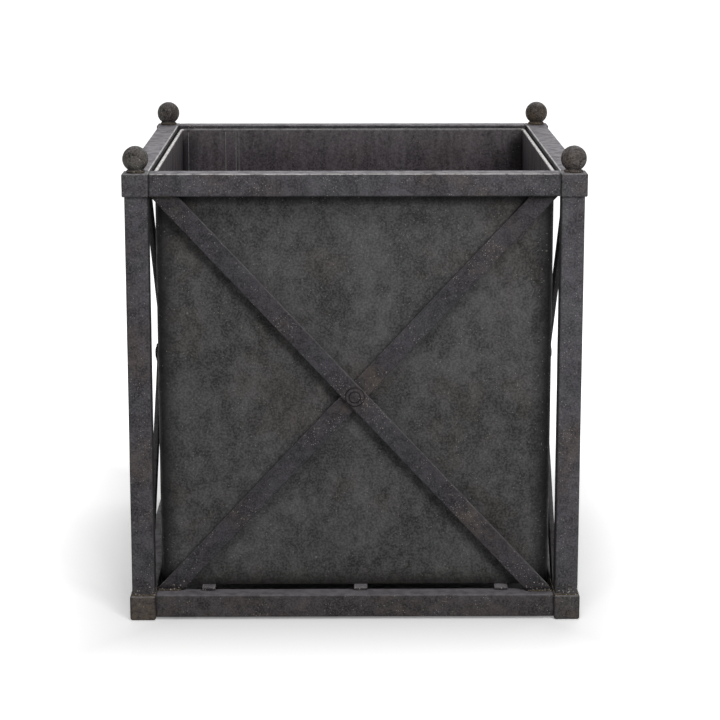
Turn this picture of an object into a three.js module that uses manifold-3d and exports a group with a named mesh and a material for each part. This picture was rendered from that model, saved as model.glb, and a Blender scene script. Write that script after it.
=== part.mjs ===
// Versailles planter: a square iron frame with a cross of flat bars on each side,
// ball finials on its corners, and a sheet-metal liner that lifts out of it.
// Millimetres, +Z up. The origin is on the floor, at the centre of the planter.
// The front looks along -Y and the four sides are alike.
import * as THREE from "three";
import { mergeVertices } from "three/addons/utils/BufferGeometryUtils.js";
import Module from "manifold-3d";

const wasm = await Module();
wasm.setup();

// ---------------------------------------------------------------- sizes

const SPAN = 500; // over the corner castings, both ways
const FRAME_HEIGHT = 500; // floor to the top of the upper rails
const GAP = 0.3; // between pieces that touch

// Posts and rails: square tube
const TUBE = 25.4;
const TUBE_WALL = 1.6;
const TUBE_CORNER = 2.2; // outside radius of its long edges
const RAIL_LIFT = 3; // floor to the underside of the lower rails

// Corner castings: caps above, feet below, with spigots that enter the tubes
const CASTING = 29;
const CASTING_PROUD = 2.5; // how far a casting stands outside the tubes
const CASTING_CORNER = 2.4;
const CAP_TOP_ROUND = 1.6;
const CAP_UNDER_ROUND = 0.5;
const FOOT_TOP_ROUND = 2.2;
const FOOT_UNDER_ROUND = 2;
const SPIGOT_LENGTH = 14;
const SPIGOT_CORNER = 1.2;

// Ball finials, each standing in a ring of weld
const BALL = 28.6;
const WELD_RING = 19.4; // over the bead
const WELD_NECK = 17.2; // where the bead meets the ball
const WELD_HEIGHT = 2.6;

// Cross of flat bars, riveted where they pass
const FLAT_WIDTH = 22;
const FLAT_THICK = 6;
const FLAT_CHAMFER = 0.5;
const RIVET_SHANK = 8;
const RIVET_HEAD = 13.6;
const RIVET_HEAD_HEIGHT = 1.4;
const RIVET_TAIL = 12.4;
const RIVET_TAIL_HEIGHT = 2.2;
const WASHER = 22;
const WASHER_THICK = 1.4;
const WASHER_CHAMFER = 0.5;

// Strips across the lower rails, which the liner stands on
const STRIP_WIDTH = 15;
const STRIP_THICK = 3;
const STRIP_LAP = 8; // how far a strip's end lies on the rail
const STRIP_PLACES = { left: -163.5, middle: 6.5, right: 163.5 };

// Liner: wrapped sheet with a hem folded outwards and one lapped seam, and a tray for a floor
const LINER = 434; // over the walls, below the hem
const LINER_CORNER = 7.5;
const SHEET = 1.2;
const HEM_THICK = 4.2; // inside face of the wall to the outside of the fold
const HEM_DROP = 7; // rim to the end of the fold
const RIM_BELOW_RAIL = 4;
const SEAM_FROM_CORNER = 52;
const SEAM_WIDTH = 12;
const SEAM_THICK = 1.2;
const SEAM_SLOPE = 1.4; // width of the solder along each edge of the lap
const FLOOR_FLANGE = 12;
const FLOOR_BEND = 2; // outside radius where the tray turns up
const DRAIN_HOLE = 10;
const DRAIN_OFFSET = 85;

// Steps of the curves
const EDGE_STEPS = 2; // steps over a rounded edge, and half the steps round a corner
const LINER_STEPS = 3; // half the steps round one corner of the liner
const BALL_SEGMENTS = 28;
const RIVET_SEGMENTS = 20;

// Worked out from the sizes above
const TUBE_FACE = SPAN / 2 - CASTING_PROUD; // outer face of posts and rails
const TUBE_AXIS = TUBE_FACE - TUBE / 2;
const CASTING_AXIS = (SPAN - CASTING) / 2;
const CASTING_INNER = SPAN / 2 - CASTING;
const TUBE_INNER = TUBE_FACE - TUBE; // inner face of posts and rails
const UPPER_RAIL_UNDER = FRAME_HEIGHT - TUBE;
const LOWER_RAIL_TOP = RAIL_LIFT + TUBE;
const CAP_UNDER = UPPER_RAIL_UNDER; // caps and feet end level with the rails
const FOOT_TOP = LOWER_RAIL_TOP;
const STRIP_BOTTOM = LOWER_RAIL_TOP + GAP;
const LINER_BOTTOM = STRIP_BOTTOM + STRIP_THICK + GAP;
const LINER_RIM = FRAME_HEIGHT - RIM_BELOW_RAIL;

// ------------------------------------------------------------ materials

// Each piece gets its own material, from a finish of this list.
const FINISHES = {
  tube: { color: 0x454547, roughness: 0.62, metalness: 0.55 },
  casting: { color: 0x484543, roughness: 0.68, metalness: 0.5 },
  finial: { color: 0x4a4843, roughness: 0.64, metalness: 0.5 },
  flat: { color: 0x424243, roughness: 0.6, metalness: 0.55 },
  rivet: { color: 0x3b3a3a, roughness: 0.55, metalness: 0.6 },
  sheet: { color: 0x3e3f3f, roughness: 0.7, metalness: 0.5 },
};

function piece(name, geometry, finish) {
  const mesh = new THREE.Mesh(
    geometry,
    new THREE.MeshStandardMaterial(FINISHES[finish]),
  );
  mesh.name = name;
  return mesh;
}

// --------------------------------------------------- outlines and solids

// A square with rounded corners, as a shape.
function roundedSquare(width, corner) {
  const c = width / 2 - corner;
  return new THREE.Shape()
    .absarc(c, c, corner, 0, Math.PI / 2)
    .absarc(-c, c, corner, Math.PI / 2, Math.PI)
    .absarc(-c, -c, corner, Math.PI, Math.PI * 1.5)
    .absarc(c, -c, corner, Math.PI * 1.5, Math.PI * 2);
}

// A solid lofted through rounded squares at rising or falling heights. Each section is
// { width, corner, z }. A closed loft joins its last section to its first, as a frame does.
function squareLoft(sections, steps, closed = false) {
  const outlines = sections.map(({ width, corner, z }) =>
    roundedSquare(width, corner)
      .getPoints(steps)
      .map((p) => [p.x, p.y, z]),
  );
  const around = outlines[0].length;
  const index = [];
  const bands = closed ? sections.length : sections.length - 1;
  for (let band = 0; band < bands; band++) {
    const low = band * around;
    const high = ((band + 1) % sections.length) * around;
    for (let i = 0; i < around; i++) {
      const next = (i + 1) % around;
      index.push(low + i, low + next, high + next);
      index.push(low + i, high + next, high + i);
    }
  }
  if (!closed) {
    const last = (sections.length - 1) * around;
    for (let i = 1; i < around - 1; i++) {
      index.push(0, i + 1, i);
      index.push(last, last + i, last + i + 1);
    }
  }
  return new THREE.BufferGeometry()
    .setAttribute(
      "position",
      new THREE.Float32BufferAttribute(outlines.flat(2), 3),
    )
    .setIndex(index);
}

// A rounded edge as pairs: how far in from the side, and how far from the end face.
function roundedEdge(radius) {
  const pairs = [];
  for (let step = 0; step <= EDGE_STEPS; step++) {
    const angle = (Math.PI / 2) * (step / EDGE_STEPS);
    pairs.push({
      inset: radius * (1 - Math.cos(angle)),
      along: radius * (1 - Math.sin(angle)),
    });
  }
  return pairs;
}

// A geometry as a solid that can be joined and cut.
function solid(geometry) {
  const bare = geometry.clone();
  bare.deleteAttribute("normal");
  bare.deleteAttribute("uv");
  const merged = mergeVertices(bare, 1e-4);
  return new wasm.Manifold(
    new wasm.Mesh({
      numProp: 3,
      vertProperties: merged.attributes.position.array,
      triVerts: new Uint32Array(merged.index.array),
    }),
  );
}

// A joined or cut solid as a geometry.
function geometryOf(manifold) {
  const mesh = manifold.getMesh();
  return new THREE.BufferGeometry()
    .setAttribute("position", new THREE.BufferAttribute(mesh.vertProperties, 3))
    .setIndex(new THREE.BufferAttribute(mesh.triVerts, 1));
}

function extrude(shape, depth, settings = {}) {
  return new THREE.ExtrudeGeometry(shape, {
    depth,
    bevelEnabled: false,
    curveSegments: EDGE_STEPS,
    ...settings,
  });
}

// --------------------------------------------------------- square tubes

// A length of square tube along +Z, open at both ends.
function tubeGeometry(length) {
  const section = roundedSquare(TUBE, TUBE_CORNER);
  const bore = TUBE - 2 * TUBE_WALL;
  section.holes.push(roundedSquare(bore, TUBE_CORNER - TUBE_WALL / 2));
  return extrude(section, length);
}

function post(corner) {
  const bottom = FOOT_TOP + GAP;
  const top = CAP_UNDER - GAP;
  const mesh = piece(`post_${corner}`, tubeGeometry(top - bottom), "tube");
  mesh.position.set(-TUBE_AXIS, -TUBE_AXIS, bottom);
  return mesh;
}

function rail(name, z) {
  const length = 2 * (CASTING_INNER - GAP);
  const mesh = piece(name, tubeGeometry(length), "tube");
  mesh.rotation.y = Math.PI / 2;
  mesh.position.set(-length / 2, -TUBE_AXIS, z);
  return mesh;
}

// ------------------------------------------------------ corner castings

// A spigot is a square stub that fills the end of a tube and starts inside the casting.
function spigot(turn, start) {
  const width = TUBE - 2 * TUBE_WALL - 2 * GAP;
  const overlap = CASTING / 2;
  const geometry = extrude(
    roundedSquare(width, SPIGOT_CORNER),
    SPIGOT_LENGTH + overlap,
  );
  geometry.translate(0, 0, -overlap);
  geometry.applyMatrix4(new THREE.Matrix4().makeRotationFromEuler(turn));
  geometry.translate(...start);
  return solid(geometry);
}

// The block of a casting at the front left corner, with its upper and lower edges rounded.
function castingBlock(bottom, top, underRound, topRound) {
  const section = (inset, z) => ({
    width: CASTING - 2 * inset,
    corner: CASTING_CORNER - inset,
    z,
  });
  const lower = roundedEdge(underRound)
    .reverse()
    .map(({ inset, along }) => section(inset, bottom + along));
  const upper = roundedEdge(topRound).map(({ inset, along }) =>
    section(inset, top - along),
  );
  const geometry = squareLoft([...lower, ...upper], EDGE_STEPS);
  geometry.translate(-CASTING_AXIS, -CASTING_AXIS, 0);
  return solid(geometry);
}

// A casting joins a post and the two rails that meet it: postTurn points along the post.
function casting(block, railZ, postTurn, postStart) {
  const alongX = new THREE.Euler(0, Math.PI / 2, 0);
  const alongY = new THREE.Euler(-Math.PI / 2, 0, 0);
  return geometryOf(
    block
      .add(spigot(alongX, [-CASTING_INNER, -TUBE_AXIS, railZ]))
      .add(spigot(alongY, [-TUBE_AXIS, -CASTING_INNER, railZ]))
      .add(spigot(postTurn, [-TUBE_AXIS, -TUBE_AXIS, postStart])),
  );
}

function cornerCap(corner) {
  const down = new THREE.Euler(Math.PI, 0, 0);
  const block = castingBlock(
    CAP_UNDER,
    FRAME_HEIGHT,
    CAP_UNDER_ROUND,
    CAP_TOP_ROUND,
  );
  const railZ = FRAME_HEIGHT - TUBE / 2;
  return piece(
    `corner_cap_${corner}`,
    casting(block, railZ, down, CAP_UNDER),
    "casting",
  );
}

function foot(corner) {
  const up = new THREE.Euler(0, 0, 0);
  const block = castingBlock(0, FOOT_TOP, FOOT_UNDER_ROUND, FOOT_TOP_ROUND);
  const railZ = RAIL_LIFT + TUBE / 2;
  return piece(
    `foot_${corner}`,
    casting(block, railZ, up, FOOT_TOP),
    "casting",
  );
}

// -------------------------------------------------------- ball finials

// A forged ball whose foot is lost in a ring of weld.
function ballFinial(corner) {
  const radius = BALL / 2;
  const ring = WELD_RING / 2;
  const neck = WELD_NECK / 2;
  const start = -Math.acos(neck / radius); // where the ball leaves its weld
  const arcSteps = BALL_SEGMENTS / 2 - 2;
  const profile = [
    new THREE.Vector2(0, 0),
    new THREE.Vector2(ring - 0.5, 0),
    new THREE.Vector2(ring, 0.6),
    new THREE.Vector2(ring, 1.3),
    new THREE.Vector2(ring - 0.4, 2),
  ];
  const centre = WELD_HEIGHT - radius * Math.sin(start);
  for (let step = 0; step < arcSteps; step++) {
    const angle = start + ((Math.PI / 2 - start) * step) / arcSteps;
    profile.push(
      new THREE.Vector2(
        radius * Math.cos(angle),
        centre + radius * Math.sin(angle),
      ),
    );
  }
  profile.push(new THREE.Vector2(0, centre + radius));
  const geometry = new THREE.LatheGeometry(profile, BALL_SEGMENTS);
  geometry.rotateX(Math.PI / 2);
  const mesh = piece(`ball_finial_${corner}`, geometry, "finial");
  mesh.position.set(-CASTING_AXIS, -CASTING_AXIS, FRAME_HEIGHT + GAP);
  return mesh;
}

// ------------------------------------------------------- crossed flats

// Both bars run from corner to corner of the bay between posts and rails, and are cut off
// level under the upper rail and on the lower one. Seen from outside, one falls to the
// right and lies over the other, whose back is flush with the inside of the tubes.
const BAY_HALF = TUBE_INNER - GAP;
const BAY_BOTTOM = LOWER_RAIL_TOP + GAP;
const BAY_TOP = UPPER_RAIL_UNDER - GAP;
const CROSSING_Z = (BAY_BOTTOM + BAY_TOP) / 2;

// Width of a bar's level cut, found from its slope, which depends on that width in turn.
function levelCut() {
  const rise = BAY_TOP - BAY_BOTTOM;
  let cut = FLAT_WIDTH;
  for (let pass = 0; pass < 12; pass++) {
    const run = 2 * BAY_HALF - cut;
    cut = FLAT_WIDTH / Math.sin(Math.atan2(rise, run));
  }
  return cut;
}

// The falling bar's outline in the plane of the side, with its rivet hole.
function flatOutline() {
  const cut = levelCut();
  const outline = new THREE.Shape()
    .moveTo(BAY_HALF, BAY_BOTTOM)
    .lineTo(-BAY_HALF + cut, BAY_TOP)
    .lineTo(-BAY_HALF, BAY_TOP)
    .lineTo(BAY_HALF - cut, BAY_BOTTOM)
    .closePath();
  const hole = new THREE.Path().absarc(
    0,
    CROSSING_Z,
    RIVET_SHANK / 2 + GAP,
    0,
    Math.PI * 2,
    true,
  );
  outline.holes.push(hole);
  return outline;
}

function flatBar(name, outerY, mirrored) {
  const geometry = extrude(flatOutline(), FLAT_THICK - 2 * FLAT_CHAMFER, {
    bevelEnabled: true,
    bevelThickness: FLAT_CHAMFER,
    bevelSize: FLAT_CHAMFER,
    bevelOffset: -FLAT_CHAMFER,
    bevelSegments: 1,
    curveSegments: RIVET_SEGMENTS / 2,
  });
  geometry.translate(0, 0, FLAT_CHAMFER);
  // The outline's plane becomes XZ, with the thickness towards the inside.
  geometry.rotateX(Math.PI / 2);
  geometry.translate(0, outerY + FLAT_THICK, 0);
  if (mirrored) {
    geometry.rotateZ(Math.PI);
    geometry.translate(0, 2 * outerY + FLAT_THICK, 0);
  }
  return piece(name, geometry, "flat");
}

// A turned piece about the side's outward axis; z of its profile counts outwards.
function turned(name, profile, y) {
  const points = profile.map(([r, z]) => new THREE.Vector2(r, z));
  const geometry = new THREE.LatheGeometry(points, RIVET_SEGMENTS);
  const mesh = piece(name, geometry, "rivet");
  mesh.rotation.x = Math.PI; // the lathe's +Y turns to the outside, -Y
  mesh.position.set(0, y, CROSSING_Z);
  return mesh;
}

function domeSteps(radius, height, base, outward) {
  const edge = 0.35 * height;
  const steps = 4;
  const points = [];
  for (let step = 0; step <= steps; step++) {
    const angle = ((Math.PI / 2) * step) / steps;
    points.push([
      radius * Math.cos(angle),
      base + outward * (edge + (height - edge) * Math.sin(angle)),
    ]);
  }
  points[steps][0] = 0;
  return points;
}

function cross(side) {
  const innerY = -TUBE_INNER - FLAT_THICK;
  const outerY = innerY - GAP - FLAT_THICK;
  const washerBack = outerY - GAP;
  const headSeat = WASHER_THICK + 2 * GAP; // from the outer bar's face, outwards
  const tailSeat = -(2 * FLAT_THICK + 2 * GAP);

  const rivetProfile = [
    ...domeSteps(RIVET_TAIL / 2, RIVET_TAIL_HEIGHT, tailSeat, -1).reverse(),
    [RIVET_TAIL / 2, tailSeat],
    [RIVET_SHANK / 2, tailSeat],
    [RIVET_SHANK / 2, headSeat],
    [RIVET_HEAD / 2, headSeat],
    ...domeSteps(RIVET_HEAD / 2, RIVET_HEAD_HEIGHT, headSeat, 1),
  ];
  const bore = RIVET_SHANK / 2 + GAP;
  const washerProfile = [
    [bore, 0],
    [WASHER / 2, 0],
    [WASHER / 2, WASHER_THICK - WASHER_CHAMFER],
    [WASHER / 2 - WASHER_CHAMFER, WASHER_THICK],
    [bore, WASHER_THICK],
    [bore, 0],
  ];
  return [
    flatBar(`brace_falling_${side}`, outerY, false),
    flatBar(`brace_rising_${side}`, innerY, true),
    turned(`brace_rivet_${side}`, rivetProfile, outerY),
    turned(`brace_washer_${side}`, washerProfile, washerBack),
  ];
}

// --------------------------------------------------------------- strips

function supportStrip(place, x) {
  const length = 2 * (TUBE_INNER + STRIP_LAP);
  const geometry = extrude(
    new THREE.Shape()
      .moveTo(-STRIP_WIDTH / 2, 0)
      .lineTo(STRIP_WIDTH / 2, 0)
      .lineTo(STRIP_WIDTH / 2, STRIP_THICK - FLAT_CHAMFER)
      .lineTo(STRIP_WIDTH / 2 - FLAT_CHAMFER, STRIP_THICK)
      .lineTo(FLAT_CHAMFER - STRIP_WIDTH / 2, STRIP_THICK)
      .lineTo(-STRIP_WIDTH / 2, STRIP_THICK - FLAT_CHAMFER)
      .closePath(),
    length,
  );
  const mesh = piece(`support_strip_${place}`, geometry, "flat");
  mesh.rotation.x = Math.PI / 2;
  mesh.position.set(x, length / 2, STRIP_BOTTOM);
  return mesh;
}

// ---------------------------------------------------------------- liner

// The sheet's section: up the outside, under the fold, down and up the hem, over the
// rounded rim and down the inside. Each point is [inset from the wall's outside, height].
function linerSection() {
  const bend = HEM_THICK / 2;
  const inside = bend - SHEET;
  const bendInset = SHEET - bend;
  const bendZ = LINER_RIM - bend;
  const lip = LINER_RIM - HEM_DROP;
  const arc = (radius, steps) =>
    Array.from({ length: steps + 1 }, (_, step) => {
      const angle = Math.PI * (step / steps);
      return [
        bendInset + radius * Math.cos(angle),
        bendZ + radius * Math.sin(angle),
      ];
    });
  return [
    [0, LINER_BOTTOM],
    ...arc(inside, 4),
    [bendInset - inside, lip],
    [bendInset - bend, lip],
    ...arc(bend, 6).reverse(),
    [SHEET, LINER_BOTTOM],
  ];
}

// Where the sheet's ends lap, on the inside of the back wall.
function lapSeam() {
  const wall = LINER / 2 - SHEET;
  const x = -(LINER / 2 - SEAM_FROM_CORNER - SEAM_WIDTH / 2);
  const half = SEAM_WIDTH / 2;
  const bottom = LINER_BOTTOM + FLOOR_FLANGE + 2 * SHEET;
  const top = LINER_RIM - HEM_THICK;
  const sunk = SHEET / 2;
  const band = extrude(
    new THREE.Shape()
      .moveTo(-half, sunk)
      .lineTo(-half, 0)
      .lineTo(-half + SEAM_SLOPE, -SEAM_THICK)
      .lineTo(half - SEAM_SLOPE, -SEAM_THICK)
      .lineTo(half, 0)
      .lineTo(half, sunk)
      .closePath(),
    top - bottom,
  );
  band.translate(x, wall, bottom);
  return solid(band);
}

function linerWall() {
  const sections = linerSection().map(([inset, z]) => ({
    width: LINER - 2 * inset,
    corner: LINER_CORNER - inset,
    z,
  }));
  const sheet = solid(squareLoft(sections, LINER_STEPS, true));
  return piece("liner_wall", geometryOf(sheet.add(lapSeam())), "sheet");
}

// The floor is a tray whose flange stands up inside the wall, with four drain holes.
function linerFloor() {
  const width = LINER - 2 * SHEET - 2 * GAP;
  const corner = LINER_CORNER - SHEET - GAP;
  const upper = LINER_BOTTOM + SHEET;
  const flangeTop = LINER_BOTTOM + FLOOR_FLANGE;
  const section = (inset, z) => ({
    width: width - 2 * inset,
    corner: corner - inset,
    z,
  });
  const outerBend = roundedEdge(FLOOR_BEND)
    .reverse()
    .map(({ inset, along }) => section(inset, LINER_BOTTOM + along));
  const innerBend = roundedEdge(FLOOR_BEND - SHEET).map(({ inset, along }) =>
    section(SHEET + inset, upper + along),
  );
  const flange = [section(0, flangeTop), section(SHEET, flangeTop)];
  const tray = squareLoft(
    [...outerBend, ...flange, ...innerBend],
    LINER_STEPS,
  );
  let floor = solid(tray);
  for (const x of [-DRAIN_OFFSET, DRAIN_OFFSET]) {
    for (const y of [-DRAIN_OFFSET, DRAIN_OFFSET]) {
      const drill = new THREE.CylinderGeometry(
        DRAIN_HOLE / 2,
        DRAIN_HOLE / 2,
        4 * SHEET,
        RIVET_SEGMENTS,
      );
      drill.rotateX(Math.PI / 2);
      drill.translate(x, y, LINER_BOTTOM + SHEET / 2);
      floor = floor.subtract(solid(drill));
    }
  }
  return piece("liner_floor", geometryOf(floor), "sheet");
}

// ------------------------------------------------------------- assembly

const planter = new THREE.Group();
const frame = new THREE.Group();
const liner = new THREE.Group();
planter.add(frame, liner);

const CORNERS = ["front_left", "front_right", "back_right", "back_left"];
const SIDES = ["front", "right", "back", "left"];

CORNERS.forEach((corner, quarter) => {
  const group = new THREE.Group();
  group.add(foot(corner), post(corner), cornerCap(corner), ballFinial(corner));
  group.rotation.z = (quarter * Math.PI) / 2;
  frame.add(group);
});

SIDES.forEach((side, quarter) => {
  const group = new THREE.Group();
  group.add(rail(`top_rail_${side}`, FRAME_HEIGHT - TUBE / 2));
  group.add(rail(`bottom_rail_${side}`, RAIL_LIFT + TUBE / 2));
  group.add(...cross(side));
  group.rotation.z = (quarter * Math.PI) / 2;
  frame.add(group);
});

for (const [place, x] of Object.entries(STRIP_PLACES)) {
  frame.add(supportStrip(place, x));
}

liner.add(linerWall(), linerFloor());

export default planter;
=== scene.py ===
"""Versailles planter: the looks of a square iron frame with a riveted cross on each side, ball
finials, and a patinated sheet liner that stands in it. Metres, +Z up, the front along -Y."""

import functools
import math

import bmesh
import bpy
from mathutils import Matrix, Vector, noise


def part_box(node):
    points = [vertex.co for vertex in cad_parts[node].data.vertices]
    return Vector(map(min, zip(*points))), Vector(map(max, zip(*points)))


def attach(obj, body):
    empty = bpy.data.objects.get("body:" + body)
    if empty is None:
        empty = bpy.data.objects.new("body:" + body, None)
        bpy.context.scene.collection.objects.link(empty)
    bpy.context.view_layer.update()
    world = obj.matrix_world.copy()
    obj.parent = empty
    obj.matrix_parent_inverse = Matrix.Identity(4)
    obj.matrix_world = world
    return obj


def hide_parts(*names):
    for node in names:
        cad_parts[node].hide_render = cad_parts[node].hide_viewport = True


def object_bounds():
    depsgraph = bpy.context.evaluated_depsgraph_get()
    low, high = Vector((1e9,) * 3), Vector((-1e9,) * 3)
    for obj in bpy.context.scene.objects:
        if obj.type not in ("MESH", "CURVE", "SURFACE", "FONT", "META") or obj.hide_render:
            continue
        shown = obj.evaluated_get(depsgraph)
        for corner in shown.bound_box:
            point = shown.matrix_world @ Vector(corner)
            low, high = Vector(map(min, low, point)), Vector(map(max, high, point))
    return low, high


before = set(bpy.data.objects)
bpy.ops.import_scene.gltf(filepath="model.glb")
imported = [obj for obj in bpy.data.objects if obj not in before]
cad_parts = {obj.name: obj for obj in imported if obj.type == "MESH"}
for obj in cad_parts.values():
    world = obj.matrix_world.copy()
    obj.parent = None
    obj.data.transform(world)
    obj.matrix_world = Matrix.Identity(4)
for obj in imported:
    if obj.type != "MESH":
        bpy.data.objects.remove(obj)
CAD_BOX = [list(corner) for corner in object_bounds()]

bl_info = {
    "name": "Versailles Planter",
    "version": (1, 0, 0),
    "blender": (4, 5, 0),
    "location": "View3D > Sidebar > Planter",
    "description": "Builds a Versailles planter in patinated iron and sheet metal",
    "category": "Object",
}

MM = 0.001
CORNERS = ("front_left", "front_right", "back_right", "back_left")
SIDES = ("front", "right", "back", "left")
STRIPS = ("left", "middle", "right")

# Patina. A pair of heights is where something comes in: none at the first, all at the second.
WAX_SHINE = 0.15  # specular level of dull wax over an oxide skin
MIDRANGE = (0.35, 0.65)  # where most values of a noise lie
BROWN_HEIGHTS = (70 * MM, 20 * MM)
RUST_HEIGHTS = (100 * MM, 0.0)
SPATTER_HEIGHTS = (42 * MM, 30 * MM)
FOOT_HEIGHTS = (28.4 * MM, 28.8 * MM)  # the spatter ends on top of the feet
CRUMB_GRID, CRUMB, SPATTER = 2.3, 0.62, 0.9  # mm: spacing of the small specks, their radii
CHIP_GRID, CHIP = 23.0, 1.6  # mm: spacing and radius of the larger chips
JOINT_DARK = 0.65  # how dark grime makes the ends of a tube
JOINT_GRIME = 2.5 * MM  # how far it reaches from there along the tube
CORNER_SHADE = 16 * MM  # how far the painted shade reaches in from the liner's upright corners
COVERED_DARK = 1.6  # how dark the painted shadow is on the liner behind the top rail, held at 1 by mark()
COVERED_SHADOW = 14 * MM  # how far that painted shadow reaches down from the rail's lower edge
EDGE_GRIME_AND_SHADE = 0.5  # how dark wax and painted shade make the edges that nothing rubs, and painted shade the faces turned inwards
BLACK_RING = 1.6 * MM  # breadth of the ring of painted shade round washers and rivet heads
RIM_PAINTED_LIGHT = 0.09  # how much painted light brightens the liner's inside at its rim, above what grime darkens
FOOT_PAINTED_LIGHT = 0.05  # how much painted light brightens the liner's outside at its lower edge
RIM_REACH = 45 * MM  # how far the band of painted light reaches down the inside
FOOT_REACH = 18 * MM  # how far the band of painted light reaches up the outside

# Forms.
TUBE_SEAT = 0.2 * MM  # how far each end of a tube closes on the casting beside it
FLAT_SKEW = 1.4  # how much longer a leaning bar's rounding is in a level cut
LINER_DENT = 50 * MM  # size of dents on sheet, which has none deep enough to show
WELD_SPAN = 30 * MM  # length of the weld along a bar's end
SEAM_START = 15 * MM  # height of the lap's lower end above the sheet's
HEM_SHARE = 0.45  # share of the hem's width that the rubbed part of the rim, with its painted highlight, takes up

# Studio.
LAMPS = (  # name, place, side of the soft box
    ("key", (0.8, -1.9, 1.15), 0.6),
    ("front", (-0.1, -1.35, 1.75), 0.6),
    ("top", (0.2, 0.85, 1.7), 1.2),
)
LAMP_AIM = (0, 0, 0.25)
FLOOR_REACH = 40.0
FLOOR_DROP = 0.1 * MM  # how far the floor lies below the feet
FLOOR_SQUEEZE = (1.2, 1.0, 1.0)  # the painted light whitens the floor sooner to the sides than to the front
SHADOW_EDGE = 20 * MM  # how far inside the planter's sides the floor has no painted light
SEEING_RAYS = ("Is Camera Ray", "Is Glossy Ray", "Is Transmission Ray")  # the camera's first
BACKDROP = (-0.2, 0.5)  # directions along Y between which reflections find the backdrop


def linear(code):
    """An sRGB hex colour as linear red, green and blue."""

    def channel(value):
        if value <= 0.04045:
            return value / 12.92
        return ((value + 0.055) / 1.055) ** 2.4

    return tuple(channel(int(code[i : i + 2], 16) / 255) for i in (0, 2, 4))


def rgba(colour):
    """A colour for a socket, with full alpha."""
    return (*colour[:3], 1.0)


def number(name, description, default, **more):
    """A number that the user may change."""
    return bpy.props.FloatProperty(name=name, description=description, default=default, **more)


def length(name, description, default):
    """A size that the user may change, in metres."""
    return number(name, description, default, min=0.0, unit="LENGTH")


def turn(name, description, degrees):
    """An angle that the user may change."""
    return number(name, description, math.radians(degrees), unit="ROTATION")


def colour(name, description, code):
    """A colour that the user may change."""
    return bpy.props.FloatVectorProperty(
        name=name, description=description, default=linear(code), min=0.0, max=1.0, subtype="COLOR"
    )


# ------------------------------------------------------------------ settings


class PlanterForgeSettings(bpy.types.PropertyGroup):
    """Sizes of the frame's surfaces: rounded edges, dents and weld."""

    tube_corner: length("Tube corner", "Radius of the tubes' long edges", 2.2 * MM)
    tube_step: length("Tube step", "Spacing of the rings along a tube", 12 * MM)
    tube_dent: length("Tube dent", "Depth of the tubes' shallow dents", 0.35 * MM)
    cap_corner: length("Cap corner", "Edge radius of the corner caps", 1.8 * MM)
    foot_corner: length("Foot corner", "Edge radius of the feet", 2.8 * MM)
    casting_dent: length("Casting dent", "Depth of the castings' hollows", 0.45 * MM)
    flat_width: length("Flat width", "Width of the crossed bars", 22 * MM)
    flat_round: length("Flat edge", "Rounding of the flat bars' edges", 0.8 * MM)
    flat_dent: length("Flat dent", "Depth of the flat bars' dents", 0.3 * MM)
    ball_dent: length("Ball dent", "Depth of the finials' hammer marks", 0.5 * MM)
    dent_size: length("Dent size", "Usual width of a dent", 30 * MM)
    rivet_shank: length("Rivet shank", "Radius of the rivets' shanks", 4 * MM)
    rivet_head: length("Rivet head", "Height of the rivets' heads", 1.4 * MM)
    rivet_tail: length("Rivet tail", "Height of the rivets' tails", 2.2 * MM)
    bead_size: length("Weld bead", "Radius of one ripple of weld", 2 * MM)


class PlanterLinerSettings(bpy.types.PropertyGroup):
    """Sizes of the sheet liner."""

    corner: length("Corner", "Outside radius of the upright corners", 7.5 * MM)
    sheet: length("Sheet", "Thickness of the sheet", 1.2 * MM)
    hem: length("Hem", "Inside face to the outside of the fold", 4.2 * MM)
    hem_drop: length("Hem drop", "Rim to the end of the fold", 7 * MM)
    step: length("Step", "Spacing of the mesh over the walls", 18 * MM)
    swell: length("Swell", "How far the flat walls bow out", 0.7 * MM)
    seam_from_corner: length("Seam", "Corner to the lapped seam", 56 * MM)
    seam_width: length("Seam width", "Width of the lap", 12 * MM)


class PlanterFinishSettings(bpy.types.PropertyGroup):
    """Colours of the patina."""

    iron_dark: colour("Iron, dark", "Blackened iron in its hollows", "29282b")
    iron_light: colour("Iron, light", "Blackened iron where the wax is thin", "5d5a5f")
    flat_dark: colour("Flat bar, dark", "The crossed bars in their hollows", "232225")
    flat_light: colour("Flat bar, light", "The crossed bars where the wax is thin", "4d4a4f")
    cast_dark: colour("Casting, dark", "Castings in their hollows", "2b292b")
    cast_light: colour("Casting, light", "Castings where they are rubbed", "5f5c60")
    ball_dark: colour("Finial, dark", "Finials in their hollows", "1b1919")
    ball_light: colour("Finial, light", "Finials where they are rubbed", "696360")
    rust: colour("Rust", "Brown bloom near the floor", "645848")
    # This colour is also a painted highlight on upward edges and the liner's rim, and painted light
    # on the liner's sheet.
    worn_and_painted_light: colour("Worn edge", "Bare metal on edges", "cbc8c6")
    # This colour is also painted shade: at the liner's corners, under the top rail, round washers
    # and on faces turned inwards.
    grime: colour("Grime", "Soot and wax caught in the joints", "121113")
    fleck: colour("Fleck", "Pale chips and specks", "aba59c")
    sheet_dark: colour("Sheet, dark", "Darkest patina of the liner", "2a2a2a")
    sheet_light: colour("Sheet, light", "Lightest patina of the liner", "5c5b5c")
    inside_dark: colour("Inside, dark", "Darkest patina inside the liner", "262226")
    inside_light: colour("Inside, light", "Lightest patina inside the liner", "5a5359")
    # This colour is also painted light on what looks upwards.
    dust_and_top_light: colour("Dust", "Dust and rubbing on what looks upwards", "98949a")
    solder: colour("Solder", "Solder along the lapped seam", "8f8b8a")
    brown_cast: colour("Brown cast", "Tint of the browner patches", "f3ebe1")
    green_cast: colour("Green cast", "Tint of the greener patches", "f8fff9")


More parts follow.
